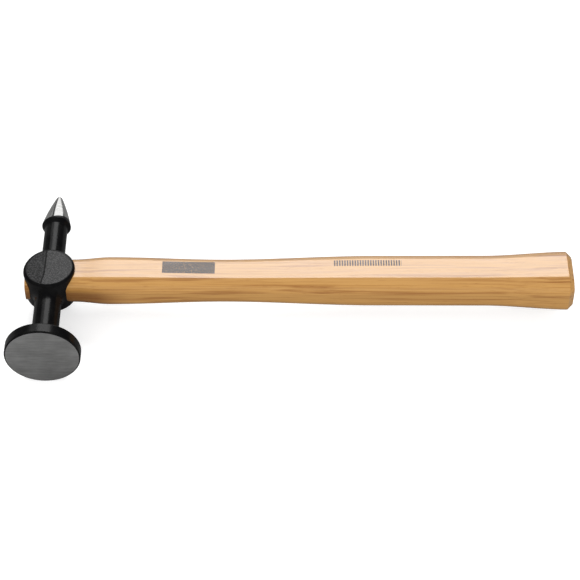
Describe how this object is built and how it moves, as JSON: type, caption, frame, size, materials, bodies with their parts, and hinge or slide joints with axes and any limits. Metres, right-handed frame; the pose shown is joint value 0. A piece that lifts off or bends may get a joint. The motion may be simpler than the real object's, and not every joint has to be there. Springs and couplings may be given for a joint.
{
  "type": "sheet metal pick hammer",
  "caption": "Sheet-metal hammer: a forged steel head with a flat round face and a round ground point, wedged on a flared wooden handle.",
  "frame": {"origin": "centre of the flat striking face", "axes": "+Y from the striking face up the head to the point, +X along the handle from the head to the butt, +Z square to the flat cheeks of the boss"},
  "size_m": [0.3165, 0.122, 0.042],
  "materials": {
    "black_paint": "semi-gloss black enamel",
    "varnished_ash": "clear satin varnish",
    "wedge_wood": "raw end grain",
    "bare_steel": "ground"
  },
  "bodies": {
    "root": {"hammer_head": "black_paint", "handle": "varnished_ash", "wooden_wedge": "wedge_wood", "steel_wedge": "bare_steel"}
  },
  "joints": []
}
